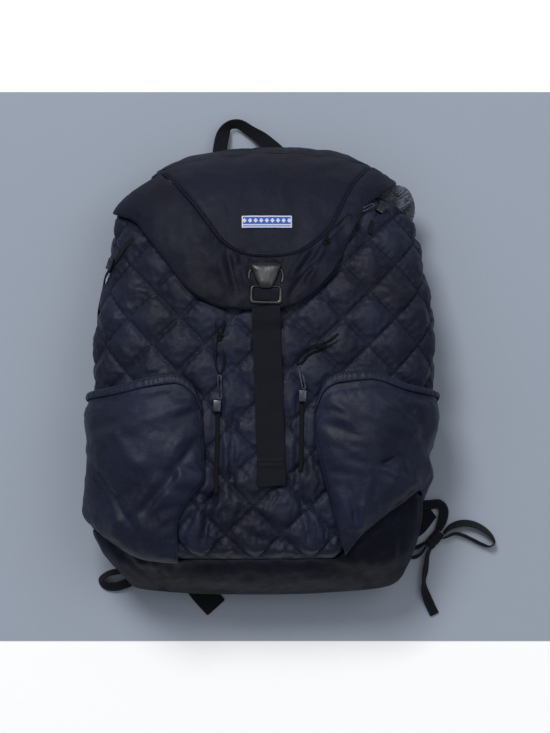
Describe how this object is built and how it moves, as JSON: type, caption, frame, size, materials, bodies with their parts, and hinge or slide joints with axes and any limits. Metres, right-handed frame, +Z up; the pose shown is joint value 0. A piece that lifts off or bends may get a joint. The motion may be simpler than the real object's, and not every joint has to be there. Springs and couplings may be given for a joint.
{
  "type": "backpack",
  "caption": "Quilted padded rucksack lying on its back: lined mouth under a buckled lid, puffed side pockets, haul loop, shoulder straps, webbing ends and cord zip pulls.",
  "frame": {"origin": "on the floor under the middle of the bag, at the underside of the back panel's spine pad, half way up the body", "axes": "+X to the right as seen from the front, +Y along the bag from its base to its lid, +Z up from the floor out of the quilted front"},
  "size_m": [0.4273, 0.52, 0.1519],
  "materials": {
    "quilt": "matte padded nylon",
    "lid": "matte padded nylon",
    "pocket": "satin nylon",
    "base": "satin nylon",
    "back": "padded mesh",
    "liner": "thin pale coated nylon",
    "webbing": "ribbed webbing",
    "label": "woven label",
    "zip": "zip tape",
    "cord": "braided cord",
    "plastic": "glossy moulded",
    "metal": "satin"
  },
  "bodies": {
    "root": {"adjuster_left": "plastic", "adjuster_right": "plastic", "back_panel": "back", "base_panel": "base", "buckle_frame": "plastic", "buckle_shell": "plastic", "buckle_web": "webbing", "centre_strap": "webbing", "corner_loop_left": "webbing", "haul_loop": "webbing", "keeper_loop_right": "webbing", "lid_centre": "lid", "lid_label": "label", "lid_surround": "lid", "lid_top": "lid", "lower_web_left": "webbing", "lower_web_right": "webbing", "main_body": "quilt", "mouth_liner": "liner", "pocket_binding_left": "pocket", "pocket_binding_right": "pocket", "pocket_left": "pocket", "pocket_right": "pocket", "pull_cord_left": "cord", "pull_cord_right": "cord", "pull_cord_top": "cord", "pull_link_left": "metal", "pull_link_right": "metal", "pull_link_top": "metal", "shoulder_strap_left": "back", "shoulder_strap_right": "back", "side_zip_left": "zip", "side_zip_right": "zip", "side_zip_slider_left": "metal", "side_zip_slider_right": "metal", "strap_bight_right": "webbing", "strap_keeper_right": "webbing", "strap_loop_right": "webbing", "strap_tail_right": "webbing", "zip_left": "zip", "zip_right": "zip", "zip_slider_left": "metal", "zip_slider_right": "metal"}
  },
  "joints": []
}
